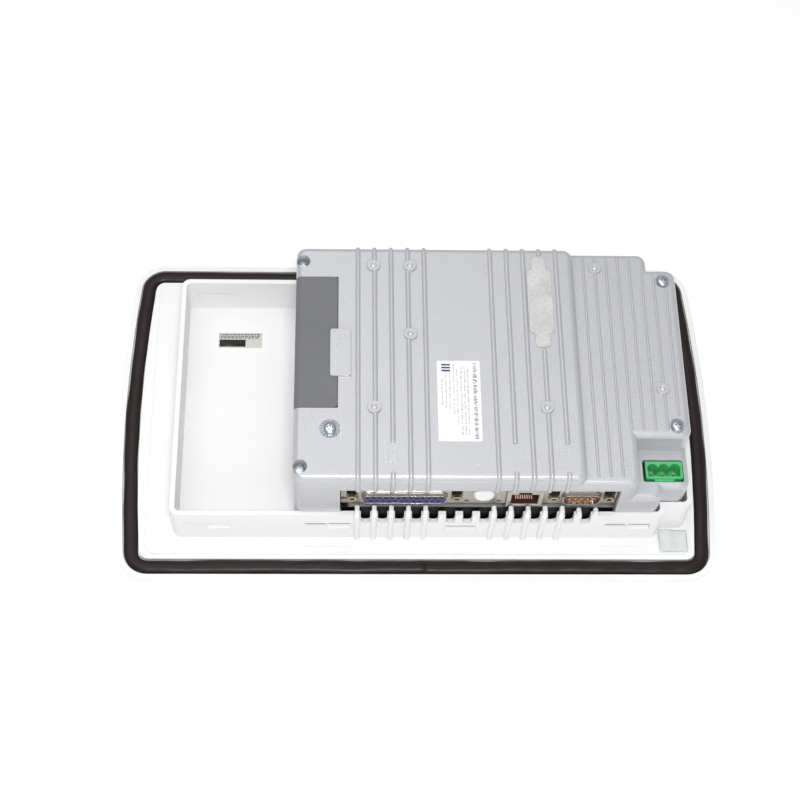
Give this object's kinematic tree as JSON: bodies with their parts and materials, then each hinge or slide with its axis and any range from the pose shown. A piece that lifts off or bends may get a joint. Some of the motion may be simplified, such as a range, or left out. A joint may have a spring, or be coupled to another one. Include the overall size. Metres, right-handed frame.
{
  "type": "hmi touch panel",
  "caption": "Panel-mount operator terminal with keypad and touch display in front, gasketed bezel, and a ribbed die-cast rear housing with serial, network and power connectors.",
  "frame": {"origin": "centre of the bezel's front face, on the plane the terminal lies on when it is laid face down", "axes": "+Z out of the rear of the terminal, +X along its length, -Y towards the edge with the connectors"},
  "size_m": [0.285, 0.1706, 0.064],
  "materials": {
    "bezel_white": "satin off-white moulded plastic",
    "gasket_rubber": "cellular rubber seal, soft sheen",
    "overlay_film": "textured printed film",
    "spacer_film": "clear matt polyester",
    "dome_steel": "formed spring steel",
    "circuit_film": "amber film with printed tracks",
    "screen_glass": "resistive touch glass",
    "lcd_dark": "unlit liquid-crystal panel",
    "sheet_steel": "zinc-plated sheet steel",
    "board_green": "solder-resist on glass-fibre board",
    "bracket_plate": "yellow passivated sheet steel",
    "shell_nickel": "nickel-plated connector shell",
    "insulator_violet": "moulded violet insulator",
    "insulator_amber": "moulded amber-brown insulator",
    "contact_gold": "gold-plated contacts",
    "plug_white": "white moulded plug",
    "jack_metal": "tinned jack shield",
    "standoff_brass": "passivated jackscrews",
    "header_green": "glossy green terminal moulding",
    "pin_tin": "tinned pins",
    "bay_plastic": "black moulded bay",
    "card_blue": "memory card shell",
    "battery_steel": "coin cell can",
    "blank_grey": "self-adhesive grey blank",
    "cast_silver": "fine metallic silver paint on die-cast metal",
    "screw_zinc": "blue zinc plate",
    "label_white": "printed polyester label",
    "sticker_silver": "silver label with a black panel",
    "film_clear": "clear adhesive film with a green edge",
    "door_grey": "textured dark grey moulding",
    "key_light": "light grey moulded key",
    "key_mid": "mid grey moulded key"
  },
  "bodies": {
    "root": {"bezel_housing": "bezel_white", "panel_gasket": "gasket_rubber", "front_overlay": "overlay_film", "key_spacer": "spacer_film", "snap_domes": "dome_steel", "key_circuit": "circuit_film", "touch_screen": "screen_glass", "lcd_panel": "lcd_dark", "lcd_frame": "sheet_steel", "display_board": "board_green", "board_standoffs": "sheet_steel", "logic_board": "board_green", "io_bracket": "bracket_plate", "serial25_shell": "shell_nickel", "serial25_insulator": "insulator_violet", "serial9_shell": "shell_nickel", "serial9_insulator": "insulator_amber", "serial9_pins": "contact_gold", "ethernet_jack": "jack_metal", "ethernet_contacts": "contact_gold", "jackscrews": "standoff_brass", "power_header": "header_green", "power_pins": "pin_tin", "card_bay": "bay_plastic", "memory_card": "card_blue", "battery": "battery_steel", "expansion_header": "bay_plastic", "expansion_cover": "blank_grey", "rear_cover": "cast_silver", "cover_screws": "screw_zinc", "ground_screw": "screw_zinc", "rating_label": "label_white", "serial_sticker": "sticker_silver", "clear_film": "film_clear"},
    "card_door": {"card_door": "door_grey"},
    "port_plug": {"port_plug": "plug_white"},
    "key_f1": {"key_f1": "key_mid"},
    "key_f2": {"key_f2": "key_mid"},
    "key_f3": {"key_f3": "key_mid"},
    "key_f4": {"key_f4": "key_mid"},
    "key_f5": {"key_f5": "key_mid"},
    "key_f6": {"key_f6": "key_mid"},
    "key_f7": {"key_f7": "key_mid"},
    "key_f8": {"key_f8": "key_mid"},
    "key_7": {"key_7": "key_light"},
    "key_8": {"key_8": "key_light"},
    "key_9": {"key_9": "key_light"},
    "key_4": {"key_4": "key_light"},
    "key_5": {"key_5": "key_light"},
    "key_6": {"key_6": "key_light"},
    "key_1": {"key_1": "key_light"},
    "key_2": {"key_2": "key_light"},
    "key_3": {"key_3": "key_light"},
    "key_dot": {"key_dot": "key_light"},
    "key_0": {"key_0": "key_light"},
    "key_enter": {"key_enter": "key_mid"},
    "key_left": {"key_left": "key_mid"},
    "key_up": {"key_up": "key_mid"},
    "key_right": {"key_right": "key_mid"},
    "key_down": {"key_down": "key_mid"}
  },
  "joints": [
    {"name": "card_door_slide", "type": "slide", "parent": "root", "child": "card_door", "axis": [-1, 0, 0], "range_m": [0, 0.022]},
    {"name": "port_plug_slide", "type": "slide", "parent": "root", "child": "port_plug", "axis": [0, -1, 0], "range_m": [0, 0.005]},
    {"name": "key_f1_press", "type": "slide", "parent": "root", "child": "key_f1", "axis": [0, 0, 1], "range_m": [0, 0.0005], "stiffness_N_per_m": 400},
    {"name": "key_f2_press", "type": "slide", "parent": "root", "child": "key_f2", "axis": [0, 0, 1], "range_m": [0, 0.0005], "stiffness_N_per_m": 400},
    {"name": "key_f3_press", "type": "slide", "parent": "root", "child": "key_f3", "axis": [0, 0, 1], "range_m": [0, 0.0005], "stiffness_N_per_m": 400},
    {"name": "key_f4_press", "type": "slide", "parent": "root", "child": "key_f4", "axis": [0, 0, 1], "range_m": [0, 0.0005], "stiffness_N_per_m": 400},
    {"name": "key_f5_press", "type": "slide", "parent": "root", "child": "key_f5", "axis": [0, 0, 1], "range_m": [0, 0.0005], "stiffness_N_per_m": 400},
    {"name": "key_f6_press", "type": "slide", "parent": "root", "child": "key_f6", "axis": [0, 0, 1], "range_m": [0, 0.0005], "stiffness_N_per_m": 400},
    {"name": "key_f7_press", "type": "slide", "parent": "root", "child": "key_f7", "axis": [0, 0, 1], "range_m": [0, 0.0005], "stiffness_N_per_m": 400},
    {"name": "key_f8_press", "type": "slide", "parent": "root", "child": "key_f8", "axis": [0, 0, 1], "range_m": [0, 0.0005], "stiffness_N_per_m": 400},
    {"name": "key_7_press", "type": "slide", "parent": "root", "child": "key_7", "axis": [0, 0, 1], "range_m": [0, 0.0005], "stiffness_N_per_m": 400},
    {"name": "key_8_press", "type": "slide", "parent": "root", "child": "key_8", "axis": [0, 0, 1], "range_m": [0, 0.0005], "stiffness_N_per_m": 400},
    {"name": "key_9_press", "type": "slide", "parent": "root", "child": "key_9", "axis": [0, 0, 1], "range_m": [0, 0.0005], "stiffness_N_per_m": 400},
    {"name": "key_4_press", "type": "slide", "parent": "root", "child": "key_4", "axis": [0, 0, 1], "range_m": [0, 0.0005], "stiffness_N_per_m": 400},
    {"name": "key_5_press", "type": "slide", "parent": "root", "child": "key_5", "axis": [0, 0, 1], "range_m": [0, 0.0005], "stiffness_N_per_m": 400},
    {"name": "key_6_press", "type": "slide", "parent": "root", "child": "key_6", "axis": [0, 0, 1], "range_m": [0, 0.0005], "stiffness_N_per_m": 400},
    {"name": "key_1_press", "type": "slide", "parent": "root", "child": "key_1", "axis": [0, 0, 1], "range_m": [0, 0.0005], "stiffness_N_per_m": 400},
    {"name": "key_2_press", "type": "slide", "parent": "root", "child": "key_2", "axis": [0, 0, 1], "range_m": [0, 0.0005], "stiffness_N_per_m": 400},
    {"name": "key_3_press", "type": "slide", "parent": "root", "child": "key_3", "axis": [0, 0, 1], "range_m": [0, 0.0005], "stiffness_N_per_m": 400},
    {"name": "key_dot_press", "type": "slide", "parent": "root", "child": "key_dot", "axis": [0, 0, 1], "range_m": [0, 0.0005], "stiffness_N_per_m": 400},
    {"name": "key_0_press", "type": "slide", "parent": "root", "child": "key_0", "axis": [0, 0, 1], "range_m": [0, 0.0005], "stiffness_N_per_m": 400},
    {"name": "key_enter_press", "type": "slide", "parent": "root", "child": "key_enter", "axis": [0, 0, 1], "range_m": [0, 0.0005], "stiffness_N_per_m": 400},
    {"name": "key_left_press", "type": "slide", "parent": "root", "child": "key_left", "axis": [0, 0, 1], "range_m": [0, 0.0005], "stiffness_N_per_m": 400},
    {"name": "key_up_press", "type": "slide", "parent": "root", "child": "key_up", "axis": [0, 0, 1], "range_m": [0, 0.0005], "stiffness_N_per_m": 400},
    {"name": "key_right_press", "type": "slide", "parent": "root", "child": "key_right", "axis": [0, 0, 1], "range_m": [0, 0.0005], "stiffness_N_per_m": 400},
    {"name": "key_down_press", "type": "slide", "parent": "root", "child": "key_down", "axis": [0, 0, 1], "range_m": [0, 0.0005], "stiffness_N_per_m": 400}
  ]
}
